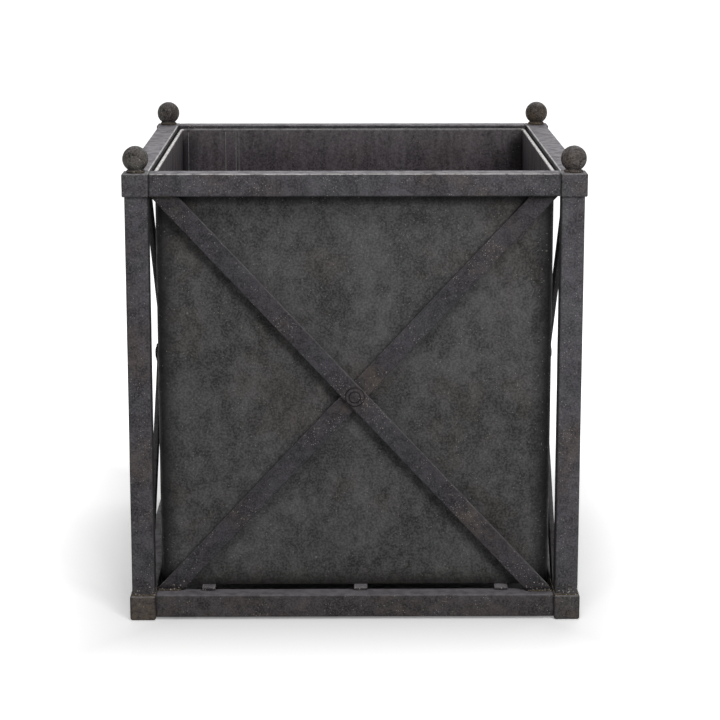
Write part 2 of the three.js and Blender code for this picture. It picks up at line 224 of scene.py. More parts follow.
class PlanterStageSettings(bpy.types.PropertyGroup):
    """The studio: camera, lamps and floor."""

    camera_place: bpy.props.FloatVectorProperty(
        name="Camera place",
        description="Where the camera stands",
        default=(-0.0145, -2.6197, 0.8134),
        subtype="TRANSLATION",
        unit="LENGTH",
    )
    camera_pitch: turn("Camera pitch", "How far the camera looks down", 11.2)
    camera_yaw: turn("Camera yaw", "How far the camera turns to the right", 0.484)
    lens: number("Lens", "Focal length in millimetres", 111.64, min=1.0)
    rise: number("Rise", "Shift of the lens, up or down", -0.06)
    floor_colour: colour("Floor", "Pale floor, as it lights the planter", "b0b0b0")
    floor_white: number("Floor white", "How white the floor looks", 0.82, min=0.0)
    glow_start: length("Glow start", "Reach from the middle where the floor pales", 150 * MM)
    glow_end: length("Glow end", "Reach from the middle where it is all white", 600 * MM)
    key: number("Key lamp", "Power of the soft box to the right", 18.5)
    front: number("Front lamp", "Power of the soft box high in front", 11.0)
    top: number("Top lamp", "Power of the soft box overhead", 9.0)
    sky: number("Room light", "Strength of the even light", 0.25)


# --------------------------------------------------------------------- nodes


def socket(sockets, key):
    """A socket by its identifier, its name or its number."""
    if isinstance(key, int):
        return sockets[key]
    return next((s for s in sockets if s.identifier == key), None) or sockets[key]


def node(tree, kind, inputs=None, **settings):
    """Adds a node. inputs maps its sockets to values or to other nodes' outputs."""
    made = tree.nodes.new(kind)
    for name, value in settings.items():
        setattr(made, name, value)
    for key, value in (inputs or {}).items():
        target = socket(made.inputs, key)
        if isinstance(value, bpy.types.NodeSocket):
            tree.links.new(value, target)
        else:
            target.default_value = value
    return made


def out(tree, kind, inputs=None, **settings):
    """Adds a node and gives its first output."""
    return node(tree, kind, inputs, **settings).outputs[0]


def maths(tree, operation, value, *others):
    """One operation over two or more values, in their order."""
    for other in others:
        value = out(tree, "ShaderNodeMath", {0: value, 1: other}, operation=operation)
    return value


def times(tree, *factors):
    """A product of two or more values."""
    return maths(tree, "MULTIPLY", *factors)


def vectors(tree, operation, inputs):
    """The outputs of an operation on vectors."""
    return node(tree, "ShaderNodeVectorMath", inputs, operation=operation).outputs


def parts_of(tree, vector):
    """A vector's X, Y and Z."""
    return node(tree, "ShaderNodeSeparateXYZ", {0: vector}).outputs


def ramp(tree, value, low, high, start=0.0, end=1.0, how="SMOOTHSTEP"):
    """A value brought from one range to another, smoothly unless how says otherwise."""
    inputs = {"Value": value, "From Min": low, "From Max": high, "To Min": start, "To Max": end}
    return out(tree, "ShaderNodeMapRange", inputs, interpolation_type=how)


def blend(tree, factor, first, second, how="MIX"):
    """The first colour, going over to the second, or tinted by it, as the factor rises."""
    inputs = {"Factor_Float": factor, "A_Color": first, "B_Color": second}
    mix = node(tree, "ShaderNodeMix", inputs, data_type="RGBA", blend_type=how)
    return socket(mix.outputs, "Result_Color")


def per_metre(millimetres):
    """Repeats in a metre of a pattern whose real size is given."""
    return 1000.0 / millimetres


def emptied(owner):
    """The node tree of a material or world, cleared."""
    owner.use_nodes = True
    owner.node_tree.nodes.clear()
    return owner.node_tree


# ----------------------------------------------------------------- materials


def grains(tree, place, size_mm, detail=3.0, rough=0.5, stretch=(1, 1, 1), seed=0.0):
    """A noise whose lumps have a real size; stretch lengthens them along an axis."""
    shrink = [1.0 / s for s in stretch]
    shift = (seed, -seed, 0.37 * seed)
    mapping = {"Vector": place, "Location": shift, "Scale": shrink}
    mapped = out(tree, "ShaderNodeMapping", mapping)
    settings = {"Vector": mapped, "Scale": per_metre(size_mm), "Detail": detail, "Roughness": rough}
    return out(tree, "ShaderNodeTexNoise", settings)


def flecks(tree, place, spacing_mm, radius_mm, share):
    """Small round specks, in a share of the cells of an irregular grid. The share may vary."""
    grid = {"Vector": place, "Scale": per_metre(spacing_mm), "Randomness": 1.0}
    cells = node(tree, "ShaderNodeTexVoronoi", grid).outputs
    reach = radius_mm / spacing_mm
    near = ramp(tree, cells["Distance"], reach, 0.4 * reach)
    pick = out(tree, "ShaderNodeSeparateColor", {"Color": cells["Color"]})
    return times(tree, near, maths(tree, "LESS_THAN", pick, share))


def marked(tree, name):
    """One mark of a mesh: wear, with painted highlight and light, or grime, with painted shade."""
    kind = "ShaderNodeAttribute"
    return node(tree, kind, attribute_type="GEOMETRY", attribute_name=name).outputs["Fac"]


# Each finish has the name of its material and the names of its dark and light colour, then
# cloud_mm, patch_mm, mottle_mm (sizes of the clouds, patches and mottling), streak (how far
# they run down), cast (strength of the tints), rust, dust with painted light on what looks
# upwards, and wear with painted highlight (0 to 1), flecks and spatter (share of cells),
# contrast (of the flecks), sheen (how metallic the patina is), rough (lowest and highest),
# pit_mm and pit_depth_mm. What a finish leaves out is as in USUAL.
USUAL = {"streak": 1.0, "cast": 1.0, "dust_and_top_light": 0.4, "spatter": 0.0, "contrast": 0.5, "sheen": 0.06}
FINISHES = {
    # Mild-steel square tube, blackened with acid and waxed: dull, softly mottled.
    "iron": dict(
        name="blackened_waxed_iron", dark="iron_dark", light="iron_light",
        cloud_mm=48.0, patch_mm=11.0, mottle_mm=2.2, cast=0.6, rust=0.2, wear=1.0, dust_and_top_light=0.6,
        flecks=0.6, spatter=0.7, contrast=0.6, rough=(0.5, 0.68),
        pit_mm=1.6, pit_depth_mm=0.14,
    ),
    # Hot-rolled flat bar, blackened over its mill scale: darker than the tube.
    "flat": dict(
        name="blackened_mill_scale", dark="flat_dark", light="flat_light",
        cloud_mm=48.0, patch_mm=9.0, mottle_mm=2.1, cast=0.45, rust=0.25, wear=1.0, dust_and_top_light=0.6,
        flecks=0.9, spatter=0.5, contrast=0.6, rough=(0.5, 0.68),
        pit_mm=1.6, pit_depth_mm=0.16,
    ),
    # Sand-cast iron, blackened: grainier, browner and duller than the tube.
    "cast": dict(
        name="blackened_sand_cast_iron", dark="cast_dark", light="cast_light",
        cloud_mm=16.0, patch_mm=6.0, mottle_mm=2.0, rust=0.5, wear=0.8, dust_and_top_light=0.5,
        flecks=0.35, spatter=0.2, contrast=0.6, rough=(0.52, 0.72),
        pit_mm=1.3, pit_depth_mm=0.18,
    ),
    # Forged ball, blackened over its scale: greenish brown, chipped pale on top.
    "ball": dict(
        name="blackened_forged_iron", dark="ball_dark", light="ball_light",
        cloud_mm=11.0, patch_mm=5.0, mottle_mm=1.9, rust=0.7, wear=0.6, dust_and_top_light=0.12,
        flecks=0.9, contrast=0.9, rough=(0.5, 0.7),
        pit_mm=1.4, pit_depth_mm=0.22,
    ),
    # Weld left as it ran, brown and spattered.
    "weld": dict(
        name="weathered_weld", dark="cast_dark", light="rust",
        cloud_mm=9.0, patch_mm=4.0, mottle_mm=1.8, rust=0.6, wear=0.5,
        flecks=0.9, spatter=0.5, contrast=0.9, sheen=0.2, rough=(0.45, 0.62),
        pit_mm=0.9, pit_depth_mm=0.12,
    ),
    # Rolled zinc sheet under a dark chemical patina: matt, mottled, with faint runs.
    "sheet": dict(
        name="patinated_zinc_sheet", dark="sheet_dark", light="sheet_light",
        cloud_mm=44.0, patch_mm=13.0, mottle_mm=2.4, streak=1.3, cast=0.5, rust=0.08,
        wear=1.0, dust_and_top_light=0.3, flecks=0.16, sheen=0.04, rough=(0.55, 0.72),
        pit_mm=1.8, pit_depth_mm=0.08,
    ),
    # The same sheet inside, where water has run down and left it browner.
    "inside": dict(
        name="weathered_zinc_sheet", dark="inside_dark", light="inside_light",
        cloud_mm=30.0, patch_mm=9.0, mottle_mm=2.2, streak=6.0, cast=0.4, rust=0.05,
        wear=1.0, dust_and_top_light=0.3, flecks=0.12, sheen=0.04, rough=(0.5, 0.7),
        pit_mm=1.8, pit_depth_mm=0.08,
    ),
    # Soft solder wiped along the lap, dulled but paler than the sheet.
    "solder": dict(
        name="dulled_soft_solder", dark="sheet_light", light="solder",
        cloud_mm=8.0, patch_mm=4.0, mottle_mm=2.0, streak=9.0, cast=0.0, rust=0.0,
        wear=0.5, flecks=0.05, sheen=0.4, rough=(0.4, 0.55),
        pit_mm=1.2, pit_depth_mm=0.08,
    ),
}


@functools.cache
def finish_named(key):
    """Dark patinated metal: clouds and mottling, rust bloom, pale flecks, and worn edges with a
    painted highlight.
    """
    finish = bpy.context.scene.planter_finish
    look = {**USUAL, **FINISHES[key]}
    dark, light = (rgba(getattr(finish, look[end])) for end in ("dark", "light"))
    material = bpy.data.materials.new(look["name"])
    tree = emptied(material)
    place = node(tree, "ShaderNodeTexCoord").outputs["Object"]
    run = (1, 1, look["streak"])

    cloud = grains(tree, place, look["cloud_mm"], 4.0, 0.6, run, seed=1.7)
    patch = grains(tree, place, look["patch_mm"], 3.0, 0.6, run, seed=5.3)
    mottle = grains(tree, place, look["mottle_mm"], 3.0, 0.6, seed=4.1)
    tone = ramp(tree, cloud, *MIDRANGE, 0.0, 0.24)
    tone = maths(tree, "ADD", tone, ramp(tree, patch, *MIDRANGE, 0.0, 0.26))
    tone = maths(tree, "ADD", tone, ramp(tree, mottle, 0.38, 0.64, 0.0, 0.5))
    shade = blend(tree, tone, dark, light)

    # The patina leans to brown in some patches and to green in others.
    drift = grains(tree, place, 75.0, 4.0, 0.6, seed=2.6)
    height = parts_of(tree, place)["Z"]
    warm = ramp(tree, height, *BROWN_HEIGHTS, 0.0, 0.6)
    brown = maths(tree, "MAXIMUM", warm, ramp(tree, drift, 0.48, 0.62, 0.0, look["cast"]))
    green = ramp(tree, drift, 0.5, 0.38, 0.0, look["cast"])
    shade = blend(tree, brown, shade, rgba(finish.brown_cast), "MULTIPLY")
    shade = blend(tree, green, shade, rgba(finish.green_cast), "MULTIPLY")

    # Rust gathers towards the floor.
    low = ramp(tree, height, *RUST_HEIGHTS, 0.0, 0.14)
    bloom = ramp(tree, maths(tree, "ADD", drift, low), 0.54, 0.72)
    rusty = times(tree, bloom, ramp(tree, patch, 0.35, 0.6, 0.2, 1.0), look["rust"])
    shade = blend(tree, rusty, shade, rgba(finish.rust))

    # Dust and rubbing pale what looks upwards, and this is also painted light on the tops.
    normal = node(tree, "ShaderNodeNewGeometry").outputs["Normal"]
    upward = parts_of(tree, normal)["Z"]
    uneven = ramp(tree, patch, 0.3, 0.65, 0.5, 1.0)
    top_dust_and_light = times(tree, ramp(tree, upward, 0.5, 0.95), look["dust_and_top_light"], uneven)
    shade = blend(tree, top_dust_and_light, shade, rgba(finish.dust_and_top_light))

    # Edges are rubbed through to the metal and carry a painted highlight. Grime fills the joints,
    # and painted shade darkens corners and recesses.
    rub = ramp(tree, grains(tree, place, 6.0, 4.0, 0.75, seed=7.3), 0.28, 0.55)
    worn_and_painted_light = times(tree, marked(tree, "wear"), rub, look["wear"])
    shade = blend(tree, worn_and_painted_light, shade, rgba(finish.worn_and_painted_light))
    grime = times(tree, marked(tree, "grime"), 0.8)
    shade = blend(tree, grime, shade, rgba(finish.grime))

    # Pale crumbs gather in clusters, with a larger chip here and there. Spatter from the
    # welding lies over what is near the feet.
    cluster = ramp(tree, grains(tree, place, 33.0, 2.0, 0.5, seed=8.8), 0.42, 0.68)
    share = times(tree, cluster, look["flecks"])
    crumbs = flecks(tree, place, CRUMB_GRID, CRUMB, maths(tree, "ADD", share, 0.03))
    chips = flecks(tree, place, CHIP_GRID, CHIP, 0.12)
    pale = maths(tree, "MAXIMUM", crumbs, times(tree, chips, patch))
    pale = times(tree, pale, look["contrast"])
    below, above = (ramp(tree, height, *ends) for ends in (SPATTER_HEIGHTS, FOOT_HEIGHTS))
    share = times(tree, below, above, look["spatter"])
    pale = maths(tree, "MAXIMUM", pale, flecks(tree, place, CRUMB_GRID, SPATTER, share))
    shade = blend(tree, pale, shade, rgba(finish.fleck))

    smooth, rough = look["rough"]
    gloss = ramp(tree, patch, *MIDRANGE, rough, smooth)
    gloss = maths(tree, "SUBTRACT", gloss, times(tree, worn_and_painted_light, 0.3))
    metal = maths(tree, "MAXIMUM", times(tree, worn_and_painted_light, 0.9), look["sheen"])
    pits = grains(tree, place, look["pit_mm"], 3.0, 0.6, seed=9.2)
    relief = maths(tree, "ADD", pits, times(tree, mottle, 0.8))
    depth = look["pit_depth_mm"] * MM
    bump = out(tree, "ShaderNodeBump", {"Height": relief, "Distance": depth, "Strength": 1.0})
    surface = {
        "Base Color": shade,
        "Metallic": metal,
        "Roughness": gloss,
        "Specular IOR Level": WAX_SHINE,
        "Normal": bump,
    }
    shader = out(tree, "ShaderNodeBsdfPrincipled", surface)
    node(tree, "ShaderNodeOutputMaterial", {"Surface": shader})
    return material


# ------------------------------------------------------------ geometry nodes

SURFACE_INPUTS = ("Dent Depth", "Dent Size", "Seed", "Edge Wear", "Edge Grime", "Material")
SOCKET_KINDS = {"Copies": "NodeSocketInt", "Material": "NodeSocketMaterial"}


def new_tree(name, *inputs):
    """A geometry tree with its own named inputs and those of every forged surface."""
    tree = bpy.data.node_groups.new(name, "GeometryNodeTree")
    geometry = {"name": "Geometry", "socket_type": "NodeSocketGeometry"}
    tree.interface.new_socket(in_out="INPUT", **geometry)
    for each in (*inputs, *SURFACE_INPUTS):
        kind = SOCKET_KINDS.get(each, "NodeSocketFloat")
        tree.interface.new_socket(name=each, in_out="INPUT", socket_type=kind)
    tree.interface.new_socket(in_out="OUTPUT", **geometry)
    return tree, node(tree, "NodeGroupInput").outputs


def stored(tree, geometry, name, value):
    """The geometry with a value written on its points."""
    kind = "GeometryNodeStoreNamedAttribute"
    inputs = {"Geometry": geometry, "Name": name, "Value": value}
    return out(tree, kind, inputs, data_type="FLOAT", domain="POINT")


def realized(tree, geometry):
    """The geometry with its instances made real."""
    return out(tree, "GeometryNodeRealizeInstances", {"Geometry": geometry})


def forged(tree, geometry, given):
    """Dents a surface inwards, marks its rubbed parts with painted highlight and its grimy parts
    with painted shade, and sets the material.
    """
    place = out(tree, "GeometryNodeInputPosition")
    frequency = maths(tree, "DIVIDE", 1.0, given["Dent Size"])
    inputs = {"Vector": place, "W": given["Seed"], "Scale": frequency, "Detail": 2.0}
    lumps = out(tree, "ShaderNodeTexNoise", inputs, noise_dimensions="4D")
    inwards = times(tree, lumps, given["Dent Depth"], -1.0)
    normal = out(tree, "GeometryNodeInputNormal")
    offset = vectors(tree, "SCALE", {0: normal, "Scale": inwards})[0]
    # A flat face looks along an axis, and a rounded edge between two of them.
    x, y, z = parts_of(tree, vectors(tree, "ABSOLUTE", {0: normal})[0])
    edge = ramp(tree, maths(tree, "MAXIMUM", x, y, z), 0.97, 0.85, how="LINEAR")
    # What looks upwards is rubbed most and has the most painted highlight.
    upward = parts_of(tree, normal)[2]
    touched_and_highlit = ramp(tree, upward, 0.05, 0.45, 0.06, 1.0, how="LINEAR")
    rubbed_and_painted_light = times(tree, touched_and_highlit, given["Edge Wear"])
    # Joints hold grime. Edges that nothing rubs are darker with wax and painted shade, and the
    # faces turned to the liner get painted shade.
    darkened = out(tree, "GeometryNodeInputNamedAttribute", {"Name": "grime"})
    edge_and_recess_shade = times(tree, edge, maths(tree, "SUBTRACT", 1.0, rubbed_and_painted_light))
    level = vectors(tree, "MULTIPLY", {0: place, 1: (-1, -1, 0)})[0]
    inner = vectors(tree, "NORMALIZE", {0: level})[0]
    turned = vectors(tree, "DOT_PRODUCT", {0: inner, 1: normal})["Value"]
    edge_and_recess_shade = maths(tree, "MAXIMUM", edge_and_recess_shade, ramp(tree, turned, *MIDRANGE, how="LINEAR"))
    edge_and_recess_shade = times(tree, edge_and_recess_shade, given["Edge Grime"])
    wear = maths(tree, "SUBTRACT", times(tree, edge, rubbed_and_painted_light), darkened)
    done = stored(tree, geometry, "wear", wear)
    done = stored(tree, done, "grime", maths(tree, "MAXIMUM", darkened, edge_and_recess_shade))
    done = out(tree, "GeometryNodeSetPosition", {"Geometry": done, "Offset": offset})
    done = out(tree, "GeometryNodeSetShadeSmooth", {"Geometry": done, "Shade Smooth": True})
    finish = {"Geometry": realized(tree, done), "Material": given["Material"]}
    done = out(tree, "GeometryNodeSetMaterial", finish)
    node(tree, "NodeGroupOutput", {"Geometry": done})
    return tree


def quarter_turns_tree(name):
    """Repeats a piece round the planter, a quarter turn apart, each with its own dents."""
    tree, given = new_tree(name, "Copies")
    line = {"Count": given["Copies"], "Offset": (0.0, 0.0, 0.0)}
    spots = out(tree, "GeometryNodeMeshLine", line)
    angle = times(tree, out(tree, "GeometryNodeInputIndex"), math.pi / 2)
    rotation = out(tree, "ShaderNodeCombineXYZ", {"Z": angle})
    inputs = {"Points": spots, "Instance": given["Geometry"], "Rotation": rotation}
    copies = out(tree, "GeometryNodeInstanceOnPoints", inputs)
    return forged(tree, realized(tree, copies), given)


def square_tube_tree(name):
    """Sweeps a square section with rounded corners along each edge of a wire."""
    tree, given = new_tree(name, "Width", "Corner", "Soot")
    line = out(tree, "GeometryNodeMeshToCurve", {"Mesh": given["Geometry"]})
    along = node(tree, "GeometryNodeSplineParameter").outputs["Length"]
    whole = node(tree, "GeometryNodeSplineLength").outputs["Length"]
    from_end = maths(tree, "MINIMUM", along, maths(tree, "SUBTRACT", whole, along))
    grime = ramp(tree, from_end, 0.0, JOINT_GRIME, JOINT_DARK, given["Soot"], how="LINEAR")
    line = stored(tree, line, "grime", grime)
    side = {"Width": given["Width"], "Height": given["Width"]}
    square = out(tree, "GeometryNodeCurvePrimitiveQuadrilateral", side)
    fillet = {"Curve": square, "Radius": given["Corner"], "Count": 5}
    rounded = out(tree, "GeometryNodeFilletCurve", fillet, mode="POLY")
    section = out(tree, "GeometryNodeSubdivideCurve", {"Curve": rounded, "Cuts": 3})
    sweep = {"Curve": line, "Profile Curve": section, "Fill Caps": True}
    return forged(tree, out(tree, "GeometryNodeCurveToMesh", sweep), given)


def weld_bead_tree(name):
    """Lays overlapping ripples of weld along each edge of a wire."""
    tree, given = new_tree(name, "Ripple", "Pitch")
    line = out(tree, "GeometryNodeMeshToCurve", {"Mesh": given["Geometry"]})
    spacing = {"Curve": line, "Length": given["Pitch"]}
    spots = out(tree, "GeometryNodeResampleCurve", spacing, mode="LENGTH")
    drop = out(tree, "GeometryNodeMeshIcoSphere", {"Radius": given["Ripple"], "Subdivisions": 2})
    sizes = {"Min": (0.45, 0.45, 0.4), "Max": (0.75, 0.75, 1.0), "Seed": 5}
    size = out(tree, "FunctionNodeRandomValue", sizes, data_type="FLOAT_VECTOR")
    inputs = {"Points": spots, "Instance": drop, "Scale": size}
    ripples = out(tree, "GeometryNodeInstanceOnPoints", inputs)
    return forged(tree, realized(tree, ripples), given)


TREES = {
    "quarter_turns": quarter_turns_tree,
    "square_tube": square_tube_tree,
    "weld_bead": weld_bead_tree,
}


@functools.cache
def tree_named(name):
    """A node tree, built when it is first asked for."""
    return TREES[name](name)


def grown(obj, name, values):
    """Runs a node tree on an object and keeps the result as its plain mesh."""
    tree = tree_named(name)
    modifier = obj.modifiers.new(name, "NODES")
    modifier.node_group = tree
    for item in tree.interface.items_tree:
        if item.in_out == "INPUT" and item.name in values:
            modifier[item.identifier] = values[item.name]
    bpy.context.view_layer.update()
    graph = bpy.context.evaluated_depsgraph_get()
    mesh = bpy.data.meshes.new_from_object(obj.evaluated_get(graph))
    obj.modifiers.clear()
    old = obj.data
    obj.data = mesh
    bpy.data.meshes.remove(old)
    if not mesh.polygons:
        raise RuntimeError(f"{name} made no faces for {obj.name}")


# --------------------------------------------------------------- mesh shapes


def object_from(name, shape):
    """An object in the scene from a bmesh, which is freed."""
    mesh = bpy.data.meshes.new(name)
    shape.to_mesh(mesh)
    shape.free()
    obj = bpy.data.objects.new(name, mesh)
    bpy.context.scene.collection.objects.link(obj)
    return obj


def wire(name, lines):
    """An object of loose edges, one chain for each list of points."""
    shape = bmesh.new()
    for points in lines:
        verts = [shape.verts.new(p) for p in points]
        for a, b in zip(verts, verts[1:]):
            shape.edges.new((a, b))
    return object_from(name, shape)


def arc(x, y, reach_x, reach_y, start, end, steps):
    """Points along part of an ellipse, both ends included. Angles are in quarter turns."""
    angles = [math.pi / 2 * (start + (end - start) * i / steps) for i in range(steps + 1)]
    return [(x + reach_x * math.cos(a), y + reach_y * math.sin(a)) for a in angles]


def stations(start, end, step):
    """Points along a straight line at even steps, with a few more close to each end."""
    reach = (end - start).length
    near = [0.5 * MM / reach, JOINT_GRIME / reach]
    count = round(reach / step)
    even = [i / count for i in range(1, count)]
    shares = [0.0, *near, *even, *(1.0 - share for share in reversed(near)), 1.0]
    return [start.lerp(end, share) for share in shares]


def face_lines(low, high, radius, pitch):
    """Grid lines over a face: close together in the rounded margins, even between them."""
    margin = [radius * (1 - math.tan(math.radians(a))) for a in (45, 34, 23, 11)]
    count = max(1, round((high - low - 2 * radius) / pitch))
    span = (high - low - 2 * radius) / count
    middle = [low + radius + span * i for i in range(count + 1)]
    return [low + m for m in margin] + middle + [high - m for m in reversed(margin)]


def add_block(shape, low, high, radius, pitch):
    """Adds a box with rounded edges, as an even grid of faces."""
    lines = [face_lines(low[i], high[i], radius, pitch) for i in range(3)]
    inner = [(low[i] + radius, high[i] - radius) for i in range(3)]
    made = []
    for axis in range(3):
        u, v = (axis + 1) % 3, (axis + 2) % 3
        for end in (low[axis], high[axis]):
            grid = []
            for a in lines[u]:
                row = []
                for b in lines[v]:
                    point = Vector((0, 0, 0))
                    point[axis], point[u], point[v] = end, a, b
                    core = Vector(min(max(point[i], inner[i][0]), inner[i][1]) for i in range(3))
                    row.append(shape.verts.new(core + (point - core).normalized() * radius))
                grid.append(row)
            for i in range(len(grid) - 1):
                for j in range(len(grid[0]) - 1):
                    quad = (grid[i][j], grid[i + 1][j], grid[i + 1][j + 1], grid[i][j + 1])
                    made.append(shape.faces.new(quad))
    verts = list(dict.fromkeys(v for face in made for v in face.verts))
    bmesh.ops.remove_doubles(shape, verts=verts, dist=0.01 * MM)
    bmesh.ops.recalc_face_normals(shape, faces=[f for f in made if f.is_valid])


def add_loft(shape, rings, closed_rings=False):
    """Skins a list of closed rings. The ends get caps, unless the last ring meets the first."""
    loops = [[shape.verts.new(p) for p in ring] for ring in rings]
    around = len(loops[0])
    pairs = list(zip(loops, loops[1:]))
    if closed_rings:
        pairs.append((loops[-1], loops[0]))
    made = []
    for low, high in pairs:
        for i in range(around):
            j = (i + 1) % around
            made.append(shape.faces.new((low[i], low[j], high[j], high[i])))
    if not closed_rings:
        made.append(shape.faces.new(loops[0][::-1]))
        made.append(shape.faces.new(loops[-1]))
    bmesh.ops.recalc_face_normals(shape, faces=made)


def add_spun(shape, profile, steps, matrix):
    """Turns a profile of (radius, height) pairs about Z, then places it with a matrix."""
    rings = []
    for radius, height in profile:
        circle = arc(0, 0, radius, radius, 0, 4, steps)[:-1]
        rings.append([matrix @ Vector((x, y, height)) for x, y in circle])
    add_loft(shape, rings)


def rounded_square(half, radius, z, arc_steps, span_steps):
    """Points round a square with rounded corners, from the middle of its back side."""
    core = half - radius
    corner = [Vector((x, y, z)) for x, y in arc(core, core, radius, radius, 0, 1, arc_steps)]
    # rings where the painted shade at the liner's corners fades out
    near = [CORNER_SHADE * share for share in (0.3, 0.65, 1.0)]
    even = [2 * core * i / span_steps for i in range(1, span_steps)]
    even = [run for run in even if near[-1] < run < 2 * core - near[-1]]
    runs = (*near, *even, *(2 * core - run for run in reversed(near)))
    side = corner + [Vector((core - run, half, z)) for run in runs]
    points = []
    for quarter in range(4):
        turned = Matrix.Rotation(quarter * math.pi / 2, 3, "Z")
        points += [turned @ point for point in side]
    return points


# ------------------------------------------------------------------- pieces


def finished(obj, body, nodes):
    """Hands a finished piece to the frame."""
    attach(obj, body)
    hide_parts(*nodes)


def mark(obj, name, amount):
    """Writes a mark, grime with painted shade or wear with painted light, as amount gives it for a
    point, from 0 to 1.
    """
    mesh = obj.data
    marks = mesh.attributes.get(name) or mesh.attributes.new(name, "FLOAT", "POINT")
    for vert, item in zip(mesh.vertices, marks.data):
        item.value = min(1.0, max(0.0, amount(vert.co)))


def surface_values(dent, size, seed, wear, finish):
    """The inputs that every forged surface has."""
    return {
        "Dent Depth": dent,
        "Dent Size": size,
        "Seed": seed,
        "Edge Wear": wear,
        "Edge Grime": EDGE_GRIME_AND_SHADE if wear else 0.0,
        "Material": finish_named(finish),
    }


def repeated(obj, copies, *surface):
    """Dents and finishes a piece, and repeats it round the planter."""
    grown(obj, "quarter_turns", {"Copies": copies, **surface_values(*surface)})


class PLANTER_OT_tubes(bpy.types.Operator):
    """Draws the four posts and eight rails of square tube"""

    bl_idname = "planter.tubes"
    bl_label = "Posts and Rails"

    def execute(self, context):
        forge = context.scene.planter_forge
        lower = ["bottom_rail_front", "bottom_rail_back"]
        lower_sides = ["bottom_rail_left", "bottom_rail_right"]
        # name, nodes, axis it runs along, seed, rubbing of its edges with their painted highlight,
        # soot all over
        groups = (
            ("posts", [f"post_{c}" for c in CORNERS], 2, 3.0, 1.0, 0.0),
            ("rail_upper_front", ["top_rail_front"], 0, 5.0, 0.85, 0.13),
            ("rail_upper_back", ["top_rail_back"], 0, 6.0, 0.25, 0.13),
            ("rails_upper_sides", ["top_rail_left", "top_rail_right"], 1, 7.0, 1.0, 0.05),
            ("rails_lower_front_back", lower, 0, 9.0, 0.15, 0.13),
            ("rails_lower_sides", lower_sides, 1, 11.0, 0.15, 0.13),
        )
        for name, nodes, axis, seed, wear, soot in groups:
            lines = []
            for each in nodes:
                low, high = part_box(each)
                start, end = (low + high) / 2, (low + high) / 2
                start[axis] = low[axis] - TUBE_SEAT
                end[axis] = high[axis] + TUBE_SEAT
                lines.append(stations(start, end, forge.tube_step))
            low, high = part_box(nodes[0])
            width = high[(axis + 1) % 3] - low[(axis + 1) % 3]
            section = {"Width": width, "Corner": forge.tube_corner, "Soot": soot}
            surface = surface_values(forge.tube_dent, forge.dent_size, seed, wear, "iron")
            obj = wire(name, lines)
            grown(obj, "square_tube", {**section, **surface})
            finished(obj, "frame", nodes)
        return {"FINISHED"}


def corner_block(node_name):
    """The outer block of the casting at the front left corner, without its spigots."""
    low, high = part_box(node_name)
    centre = sum(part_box("ball_finial_front_left"), Vector()) / 2
    half = centre.x - low.x
    block_low = Vector(low)
    block_high = Vector((centre.x + half, centre.y + half, high.z))
    post_low, post_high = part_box("post_front_left")
    if node_name.startswith("foot"):
        block_high.z = post_low.z
    else:
        block_low.z = post_high.z
    return block_low, block_high


class PLANTER_OT_castings(bpy.types.Operator):
    """Casts the corner caps and the feet"""

    bl_idname = "planter.castings"
    bl_label = "Corner Castings"

    def execute(self, context):
        forge = context.scene.planter_forge
        dent, dent_size = forge.casting_dent, 0.4 * forge.dent_size
        pitch = 3 * MM
        # name, start of its nodes' names, edge radius, seed, rubbing of its edges with their
        # painted highlight
        kinds = (
            ("corner_caps", "corner_cap", forge.cap_corner, 21.0, 0.5),
            ("feet", "foot", forge.foot_corner, 23.0, 0.25),
        )
        for name, kind, corner, seed, wear in kinds:
            low, high = corner_block(f"{kind}_front_left")
            shape = bmesh.new()
            add_block(shape, low, high, corner, pitch)
            obj = object_from(name, shape)
            repeated(obj, 4, dent, dent_size, seed, wear, "cast")
            finished(obj, "frame", [f"{kind}_{c}" for c in CORNERS])
        return {"FINISHED"}


class PLANTER_OT_finials(bpy.types.Operator):
    """Forges the ball finials and their rings of weld"""

    bl_idname = "planter.finials"
    bl_label = "Ball Finials"

    def execute(self, context):
        forge = context.scene.planter_forge
        low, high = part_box("ball_finial_front_left")
        radius = (high.x - low.x) / 2
        centre = (low + high) / 2
        middle = high.z - radius - low.z
        ring, neck = 0.66 * radius, 0.6 * radius  # the bead of weld and where it meets the ball
        profile = [(0.3 * ring, 0.0), (ring, 0.0), (1.02 * ring, 0.8 * MM), (ring, 1.5 * MM)]
        start = -math.acos(neck / radius) / (math.pi / 2)
        profile += arc(0, middle, radius, radius, start, 1, 26)[:-1]
        profile.append((0.02 * radius, middle + radius))
        shape = bmesh.new()
        add_spun(shape, profile, 40, Matrix.Translation((centre.x, centre.y, low.z)))
        obj = object_from("ball_finials", shape)
        repeated(obj, 4, forge.ball_dent, 0.25 * forge.dent_size, 31.0, 0.0, "ball")
        finished(obj, "frame", [f"ball_finial_{c}" for c in CORNERS])
        return {"FINISHED"}


def flat_section(x_low, x_high, y_low, y_high, z, edge):
    """A level cut through a leaning flat bar, with rounded corners."""
    reach_x, reach_y = FLAT_SKEW * edge, edge
    right, left = x_high - reach_x, x_low + reach_x
    back, front = y_high - reach_y, y_low + reach_y
    points = []
    for quarter, (x, y) in enumerate(((right, back), (left, back), (left, front), (right, front))):
        points += arc(x, y, reach_x, reach_y, quarter, quarter + 1, 3)
    return [(x, y, z) for x, y in points]


